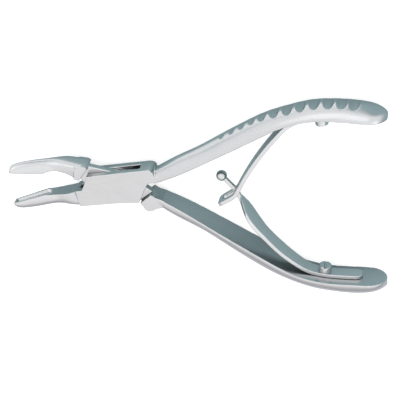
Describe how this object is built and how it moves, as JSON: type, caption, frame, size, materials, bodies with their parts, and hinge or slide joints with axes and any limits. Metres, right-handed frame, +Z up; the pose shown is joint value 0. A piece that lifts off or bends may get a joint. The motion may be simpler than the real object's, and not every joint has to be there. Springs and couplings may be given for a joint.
{
  "type": "bone rongeur",
  "caption": "Hand-held bone rongeur with cupped, upward-bent jaws, a box joint, scalloped handles and crossed leaf springs, shown open on its side.",
  "frame": {"origin": "where the joint's axis meets the underside of the box, with the instrument lying on its side", "axes": "+X from the joint towards the handles, +Y across the instrument towards the upper handle, +Z up through its thickness, the way the jaws bend"},
  "size_m": [0.1387, 0.0834, 0.0137],
  "materials": {
    "forged_steel": "polished",
    "spring_steel": "polished",
    "screw_steel": "turned and polished",
    "pin_steel": "polished"
  },
  "bodies": {
    "female": {"female_branch": "forged_steel", "pivot_pin": "pin_steel", "fork_spring": "spring_steel", "upper_screw": "screw_steel"},
    "male": {"male_branch": "forged_steel", "ball_spring": "spring_steel", "spring_ball": "pin_steel", "lower_screw": "screw_steel"}
  },
  "joints": [
    {"name": "box_joint", "type": "hinge", "parent": "female", "child": "male", "pos_m": [0, 0, 0.0035], "axis": [0, 0, 1], "range_deg": [0, 20.2], "stiffness_Nm_per_rad": 3.5, "springref_deg": -5.73, "deforming": ["fork_spring", "ball_spring", "spring_ball"]}
  ]
}
